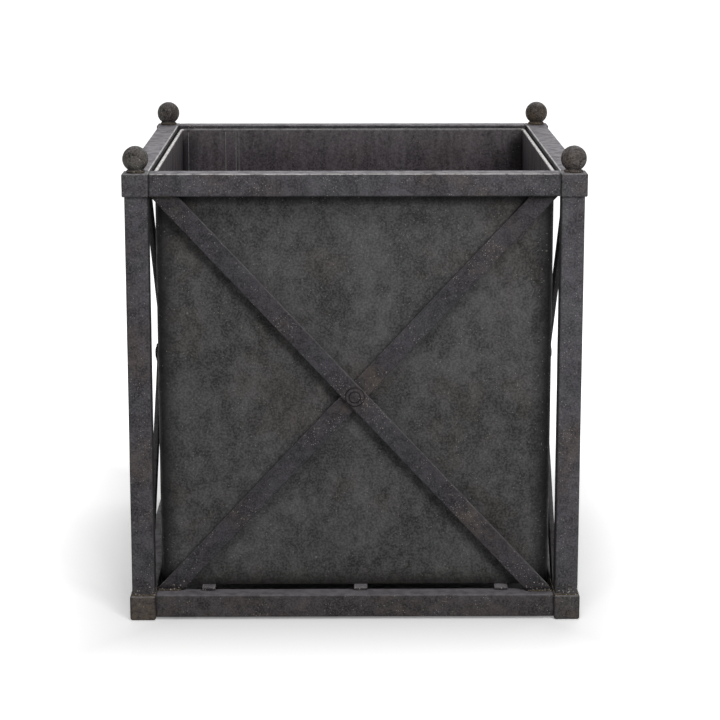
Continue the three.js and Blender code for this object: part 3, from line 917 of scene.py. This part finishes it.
class PLANTER_OT_crosses(bpy.types.Operator):
    """Draws the two flat bars that cross on each side"""

    bl_idname = "planter.crosses"
    bl_label = "Crossed Flats"

    def execute(self, context):
        forge = context.scene.planter_forge
        steps = 70
        # The outer bar is rubbed and has more painted highlight on its edges, and the inner one is
        # out of the way behind it.
        for kind, sign, seed, wear in (("falling", -1.0, 41.0, 0.25), ("rising", 1.0, 43.0, 0.15)):
            low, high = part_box(f"brace_{kind}_front")
            height = high.z - low.z
            # The cut's length and the bar's lean depend on each other: a few rounds settle them.
            cut = forge.flat_width
            for _ in range(12):
                lean = math.atan2(height, high.x - low.x - cut)
                cut = forge.flat_width / math.sin(lean)
            run = high.x - low.x - cut
            rings = []
            for i in range(steps + 1):
                x = (high.x + low.x) / 2 + sign * run * (i / steps - 0.5)
                z = low.z + height * (i / steps)
                ends = (x - cut / 2, x + cut / 2)
                rings.append(flat_section(*ends, low.y, high.y, z, forge.flat_round))
            shape = bmesh.new()
            add_loft(shape, rings)
            obj = object_from(f"braces_{kind}", shape)
            repeated(obj, 4, forge.flat_dent, forge.dent_size, seed, wear, "flat")
            finished(obj, "frame", [f"brace_{kind}_{s}" for s in SIDES])
        return {"FINISHED"}


class PLANTER_OT_rivets(bpy.types.Operator):
    """Sets a rivet and its disc washer at each crossing"""

    bl_idname = "planter.rivets"
    bl_label = "Rivets and Washers"

    def execute(self, context):
        forge = context.scene.planter_forge
        low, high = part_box("brace_washer_front")
        radius = (high.x - low.x) / 2
        thick = high.y - low.y
        inner, bevel = 0.2 * radius, 0.9 * MM
        profile = [(inner, 0.0), (radius - 0.2 * MM, 0.0), (radius, 0.3 * MM)]
        profile += arc(radius - bevel, thick - bevel, bevel, bevel, 0, 1, 4)
        profile += [(0.8 * radius, thick), (0.62 * radius, thick), (inner, thick)]
        surface = (0.15 * MM, 0.2 * forge.dent_size, 51.0, 0.5, "flat")
        self.set_disc("washer", profile, 48, surface)

        low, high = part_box("brace_rivet_front")
        head = (high.x - low.x) / 2
        total = high.y - low.y
        tail, shank = 0.9 * head, forge.rivet_shank
        tail_top, head_base = forge.rivet_tail, total - forge.rivet_head
        round_tail = 0.7 * forge.rivet_tail
        flat_head, dome = 0.35 * forge.rivet_head, 0.65 * forge.rivet_head
        profile = [(0.05 * tail, 0.0), *arc(0, round_tail, tail, round_tail, -1, 0, 6)[1:]]
        profile += [(tail, tail_top), (shank, tail_top), (shank, head_base)]
        profile += [(head - 0.2 * MM, head_base), (head, head_base + 0.2 * forge.rivet_head)]
        profile += arc(0, head_base + flat_head, head, dome, 0, 1, 9)[1:-1]
        profile.append((0.03 * head, total))
        self.set_disc("rivet", profile, 40, (0.2 * MM, 0.15 * forge.dent_size, 53.0, 0.0, "flat"))
        return {"FINISHED"}

    def set_disc(self, kind, profile, steps, surface):
        """Turns a profile about the crossing's axis, with a black ring of painted shade round its
        rim.
        """
        low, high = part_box(f"brace_{kind}_front")
        radius = (high.x - low.x) / 2
        seat = Vector((0, high.y, (low.z + high.z) / 2))
        shape = bmesh.new()
        outwards = Matrix.Rotation(math.pi / 2, 4, "X")
        add_spun(shape, profile, steps, Matrix.Translation(seat) @ outwards)
        obj = object_from(f"brace_{kind}s", shape)
        start = radius - BLACK_RING
        # painted shade: a dark ring at the rim, where the disc stands on what is under it
        mark(obj, "grime", lambda p: ((p - seat).xz.length - start) / (0.5 * BLACK_RING))
        repeated(obj, 4, *surface)
        finished(obj, "frame", [f"brace_{kind}_{s}" for s in SIDES])


class PLANTER_OT_strips(bpy.types.Operator):
    """Lays the strips that carry the liner"""

    bl_idname = "planter.strips"
    bl_label = "Support Strips"

    def execute(self, context):
        forge = context.scene.planter_forge
        nodes = [f"support_strip_{place}" for place in STRIPS]
        edge, pitch = 0.6 * MM, 8 * MM
        shape = bmesh.new()
        for each in nodes:
            add_block(shape, *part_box(each), edge, pitch)
        obj = object_from("support_strips", shape)
        repeated(obj, 1, 0.15 * MM, forge.dent_size, 61.0, 0.4, "flat")
        finished(obj, "frame", nodes)
        return {"FINISHED"}


def corner_welds():
    """Wires round the front left post above its foot, and under its cap's ball."""
    low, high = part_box("post_front_left")
    margin = 0.2 * MM
    left, right, front, back = low.x - margin, high.x + margin, low.y - margin, high.y + margin
    square = ((left, front), (right, front), (right, back), (left, back), (left, front))
    ball_low, ball_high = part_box("ball_finial_front_left")
    centre = (ball_low + ball_high) / 2
    radius, lift = 0.32 * (ball_high.x - ball_low.x), 0.7 * MM
    circle = arc(centre.x, centre.y, radius, radius, 0, 4, 24)
    levels = ((square, low.z + margin), (circle, ball_low.z + lift))
    return [[(x, y, z) for x, y in ring] for ring, z in levels]


def side_welds():
    """Wires along the cut ends of the front bars, inside and out."""
    proud, sunk = 0.1 * MM, 0.3 * MM  # in front of a bar's face, and within its end
    lines = []
    for kind in ("falling", "rising"):
        low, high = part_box(f"brace_{kind}_front")
        for z, side in ((low.z + sunk, 1), (high.z - sunk, -1)):
            right = (side > 0) == (kind == "falling")
            start = high.x - WELD_SPAN if right else low.x
            end = start + WELD_SPAN
            y = low.y - proud if kind == "falling" else high.y + proud
            lines.append([(start + 2 * MM, y, z), (end - 2 * MM, y, z)])
            if kind == "rising":
                lines.append([(start + 3 * MM, low.y, z), (end - 3 * MM, low.y, z)])
    return lines


class PLANTER_OT_welds(bpy.types.Operator):
    """Runs weld round the feet, under the finials and along the ends of the flats"""

    bl_idname = "planter.welds"
    bl_label = "Weld Beads"

    def execute(self, context):
        forge = context.scene.planter_forge
        obj = wire("weld_beads", corner_welds() + side_welds())
        bead = {"Ripple": forge.bead_size, "Pitch": 0.6 * forge.bead_size}
        surface = surface_values(0.3 * MM, 0.1 * forge.dent_size, 71.0, 0.0, "weld")
        grown(obj, "weld_bead", {**bead, **surface})
        repeated(obj, 4, 0.0, forge.dent_size, 72.0, 0.0, "weld")
        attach(obj, "frame")
        return {"FINISHED"}


def hem_section(liner, low_z, high_z, covered_z):
    """The sheet's section as (inset, height): up the outside, under the fold, down and up the
    hem, over the rim and down the inside. The wall's own outside face has inset 0, and the
    top rail covers what is above covered_z."""
    bend = liner.hem / 2
    under = bend - liner.sheet
    middle = liner.sheet - bend
    centre_z = high_z - bend
    steps = max(1, round((centre_z - low_z) / liner.step))
    rise = [(centre_z - low_z) * i / steps for i in range(steps)]
    # rings where the painted shadow under the top rail fades out
    rise += [covered_z - COVERED_SHADOW * share - low_z for share in (0.0, 0.5, 1.0)]
    rise = sorted(rise) + [centre_z - low_z - 0.5 * bend]
    lip = high_z - liner.hem_drop
    soft = 0.3 * MM
    return [
        *((0.0, low_z + r) for r in rise),
        *arc(middle, centre_z, under, under, 0, 2, 6),
        (middle - under, lip + soft),
        (middle - under - soft, lip),
        (middle - bend + soft, lip),
        (middle - bend, lip + soft),
        *arc(middle, centre_z, bend, bend, 2, 0, 10),
        *((liner.sheet, low_z + r) for r in reversed(rise)),
    ]


def wall_swell(point, half, low_z, high_z, depth):
    """How far a wall bows outwards: most at its middle, none at corners and rim."""
    along = min(abs(point.x), abs(point.y)) / half
    height = (point.z - low_z) / (high_z - low_z)
    if not 0.0 < height < 0.97:
        return 0.0
    belly = max(0.0, 1 - along * along) * math.sin(math.pi * height)
    ripple = noise.noise(point * 7.0) * 0.6 + noise.noise(point * 17.0) * 0.25
    return depth * belly * (0.55 + ripple)


class PLANTER_OT_liner(bpy.types.Operator):
    """Wraps the liner's sheet, with its hem and lapped seam, and finishes its floor"""

    bl_idname = "planter.liner"
    bl_label = "Sheet Liner"

    def execute(self, context):
        liner = context.scene.planter_liner
        low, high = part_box("liner_wall")
        half = (high.x - low.x) / 2 - (liner.hem - liner.sheet)
        core = half - liner.corner
        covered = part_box("top_rail_front")[0].z
        span_steps = round(2 * core / liner.step)
        rings = [
            rounded_square(half - inset, liner.corner - inset, z, 6, span_steps)
            for inset, z in hem_section(liner, low.z, high.z, covered)
        ]
        shape = bmesh.new()
        add_loft(shape, rings, closed_rings=True)
        for vert in shape.verts:
            point = vert.co.copy()
            swell = wall_swell(point, half, low.z, high.z, liner.swell)
            axis = 0 if abs(point.x) > abs(point.y) else 1
            vert.co[axis] += math.copysign(swell, point[axis])
        obj = object_from("liner_wall_sheet", shape)
        repeated(obj, 1, 0.0, LINER_DENT, 81.0, 0.0, "sheet")
        self.mark_inside(obj.data)
        fold = high.z - HEM_SHARE * liner.hem

        def rubbed_and_painted_light(point):
            """The rounded rim is rubbed and has a painted highlight, most at the sides, where the
            liner is lifted by hand.
            The sheet has painted light below the rim inside, and at its foot outside."""
            across = max(abs(point.x), abs(point.y))
            if point.z > fold:
                return 1.0 if abs(point.x) > abs(point.y) else 0.2
            # painted light: paler below the rim inside, and at the foot outside
            if across < half - 0.8 * liner.sheet:
                return RIM_PAINTED_LIGHT * (1 - (fold - point.z) / RIM_REACH)
            return FOOT_PAINTED_LIGHT * (1 - (point.z - low.z) / FOOT_REACH)

        def darkened(point):
            """Painted shade at the upright corners, and painted shadow outside where the top rail
            covers the sheet.
            """
            across = max(abs(point.x), abs(point.y))
            if point.z > high.z - liner.hem_drop or across > half + liner.sheet:
                return 0.0
            # painted shade near the corners, and painted shadow under the rail
            corner = 1 - (core - min(abs(point.x), abs(point.y))) / CORNER_SHADE
            under = COVERED_DARK * (1 - (covered - point.z) / COVERED_SHADOW)
            return max(corner, under if across > half - 0.5 * liner.sheet else 0.0)

        mark(obj, "grime", darkened)
        mark(obj, "wear", rubbed_and_painted_light)
        finished(obj, "liner", ["liner_wall"])
        self.lay_seam(liner, low, high, half, rubbed_and_painted_light)

        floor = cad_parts["liner_floor"]
        floor.data.materials.clear()
        floor.data.materials.append(finish_named("inside"))
        return {"FINISHED"}

    def lay_seam(self, liner, low, high, half, rubbed_and_painted_light):
        """The inner layer of the lap on the inside of the back wall, with its solder, and a
        line of solder at the corner beside it."""
        left = -half + liner.seam_from_corner
        right = left + liner.seam_width
        back = half - liner.sheet
        bottom, top = low.z + SEAM_START, high.z - liner.hem
        wide, thin, lapped = 1.4 * MM, 0.9 * MM, 0.2 * MM
        corner = -half + liner.corner
        # Each band has its two sides, and how proud it stands in thicknesses of the sheet.
        solder = [
            (left - wide, left + lapped, 0.55),
            (right - lapped, right + thin, 0.35),
            (right + 4 * thin, right + 5 * thin, 0.3),
            (corner, corner + thin, 0.35),
        ]
        parts = (
            ("liner_seam_lap", "inside", [(left, right, 0.9)]),
            ("liner_seam_solder", "solder", solder),
        )
        for name, finish, bands in parts:
            shape = bmesh.new()
            for start, end, proud in bands:
                near = Vector((start, back - proud * liner.sheet, bottom))
                far = Vector((end, back + 0.4 * liner.sheet, top))
                add_block(shape, near, far, 0.3 * liner.sheet, 12 * MM)
            obj = object_from(name, shape)
            repeated(obj, 1, 0.0, LINER_DENT, 83.0, 0.0, finish)
            mark(obj, "wear", rubbed_and_painted_light)
            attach(obj, "liner")

    def mark_inside(self, mesh):
        """Gives the faces that look into the liner their own finish."""
        mesh.materials.append(finish_named("inside"))
        for face in mesh.polygons:
            inwards = -(face.center.x * face.normal.x + face.center.y * face.normal.y)
            if inwards > 0 and abs(face.normal.z) < 0.3:
                face.material_index = 1


# -------------------------------------------------------------------- stage


def farthest(tree, place):
    """The larger of the distances from the middle along X and along Y."""
    x, y, _ = parts_of(tree, vectors(tree, "ABSOLUTE", {0: place})[0])
    return maths(tree, "MAXIMUM", x, y)


def studio_floor(stage):
    """A pale floor that keeps its shadow near the planter, and glows white with painted light
    further out.

    It looks whiter to the eye and in reflections than it is for the light it gives back.
    """
    material = bpy.data.materials.new("matt_studio_floor")
    tree = emptied(material)
    path = node(tree, "ShaderNodeLightPath").outputs
    seen = maths(tree, "MAXIMUM", *(path[ray] for ray in SEEING_RAYS))
    place = node(tree, "ShaderNodeTexCoord").outputs["Object"]
    reach = farthest(tree, vectors(tree, "MULTIPLY", {0: place, 1: FLOOR_SQUEEZE})[0])
    # painted light: the floor glows for the eye and in reflections, more with distance from the
    # planter, which fades its shadow there
    glow = ramp(tree, reach, stage.glow_start, stage.glow_end, how="LINEAR")
    outside = maths(tree, "GREATER_THAN", farthest(tree, place), CAD_BOX[1][0] - SHADOW_EDGE)
    glow = times(tree, glow, outside)
    white = [stage.floor_white] * 3
    colour = blend(tree, seen, rgba(stage.floor_colour), rgba(white))
    paint = out(tree, "ShaderNodeBsdfDiffuse", {"Color": colour})
    lift = out(tree, "ShaderNodeEmission", {"Strength": times(tree, seen, glow)})
    both = out(tree, "ShaderNodeAddShader", {0: paint, 1: lift})
    node(tree, "ShaderNodeOutputMaterial", {"Surface": both})
    return material


def studio_world(stage):
    """Even room light, with a white backdrop for the eye and, behind the planter, for gloss."""
    world = bpy.data.worlds.new("studio")
    tree = emptied(world)
    path = node(tree, "ShaderNodeLightPath").outputs
    way = node(tree, "ShaderNodeTexCoord").outputs["Generated"]
    behind = ramp(tree, parts_of(tree, way)["Y"], *BACKDROP)
    camera, *mirrored = (path[ray] for ray in SEEING_RAYS)
    white = times(tree, maths(tree, "MAXIMUM", *mirrored), behind)
    white = maths(tree, "MAXIMUM", white, camera)
    strength = ramp(tree, white, 0.0, 1.0, stage.sky, 1.0)
    light = out(tree, "ShaderNodeBackground", {"Color": (1, 1, 1, 1), "Strength": strength})
    node(tree, "ShaderNodeOutputWorld", {"Surface": light})
    bpy.context.scene.world = world


def lamp(name, place, power, size):
    """A square soft box that looks at the planter."""
    light = bpy.data.lights.new(name, "AREA")
    light.energy, light.size = power, size
    obj = bpy.data.objects.new(name, light)
    obj.location = place
    aim = Vector(LAMP_AIM) - Vector(place)
    obj.rotation_euler = aim.to_track_quat("-Z", "Y").to_euler()
    bpy.context.scene.collection.objects.link(obj)


class PLANTER_OT_stage(bpy.types.Operator):
    """Sets the floor, the lamps and the camera"""

    bl_idname = "planter.stage"
    bl_label = "Stage"

    def execute(self, context):
        stage = context.scene.planter_stage
        shape = bmesh.new()
        bmesh.ops.create_grid(shape, x_segments=1, y_segments=1, size=FLOOR_REACH)
        floor = object_from("studio_floor", shape)
        floor.location.z = -FLOOR_DROP
        floor.data.materials.append(studio_floor(stage))
        studio_world(stage)
        for name, place, size in LAMPS:
            lamp(name, place, getattr(stage, name), size)

        camera = bpy.data.cameras.new("camera")
        camera.lens, camera.sensor_width = stage.lens, 36.0
        camera.shift_y = stage.rise
        obj = bpy.data.objects.new("camera", camera)
        obj.location = stage.camera_place
        obj.rotation_euler = (math.pi / 2 - stage.camera_pitch, 0, -stage.camera_yaw)
        context.scene.collection.objects.link(obj)
        context.scene.camera = obj
        context.scene.view_settings.view_transform = "Standard"
        return {"FINISHED"}


# -------------------------------------------------------------------- panel

STEPS = (
    PLANTER_OT_stage,
    PLANTER_OT_tubes,
    PLANTER_OT_castings,
    PLANTER_OT_finials,
    PLANTER_OT_crosses,
    PLANTER_OT_rivets,
    PLANTER_OT_strips,
    PLANTER_OT_welds,
    PLANTER_OT_liner,
)
SETTINGS = {
    "planter_forge": PlanterForgeSettings,
    "planter_liner": PlanterLinerSettings,
    "planter_finish": PlanterFinishSettings,
    "planter_stage": PlanterStageSettings,
}


class PLANTER_PT_panel(bpy.types.Panel):
    """The planter's steps and settings"""

    bl_idname = "PLANTER_PT_panel"
    bl_label = "Versailles Planter"
    bl_space_type = "VIEW_3D"
    bl_region_type = "UI"
    bl_category = "Planter"

    def draw(self, context):
        for step in STEPS:
            self.layout.operator(step.bl_idname)
        for name, group in SETTINGS.items():
            box = self.layout.box()
            box.label(text=group.__doc__)
            for key in group.__annotations__:
                box.prop(getattr(context.scene, name), key)


CLASSES = (*SETTINGS.values(), *STEPS, PLANTER_PT_panel)


def register():
    for cls in CLASSES:
        bpy.utils.register_class(cls)
    for name, group in SETTINGS.items():
        setattr(bpy.types.Scene, name, bpy.props.PointerProperty(type=group))


def unregister():
    for name in SETTINGS:
        delattr(bpy.types.Scene, name)
    for cls in reversed(CLASSES):
        bpy.utils.unregister_class(cls)


def main():
    register()
    bpy.ops.planter.stage()
    bpy.ops.planter.tubes()
    bpy.ops.planter.castings()
    bpy.ops.planter.finials()
    bpy.ops.planter.crosses()
    bpy.ops.planter.rivets()
    bpy.ops.planter.strips()
    bpy.ops.planter.welds()
    bpy.ops.planter.liner()


if __name__ == "__main__":
    main()
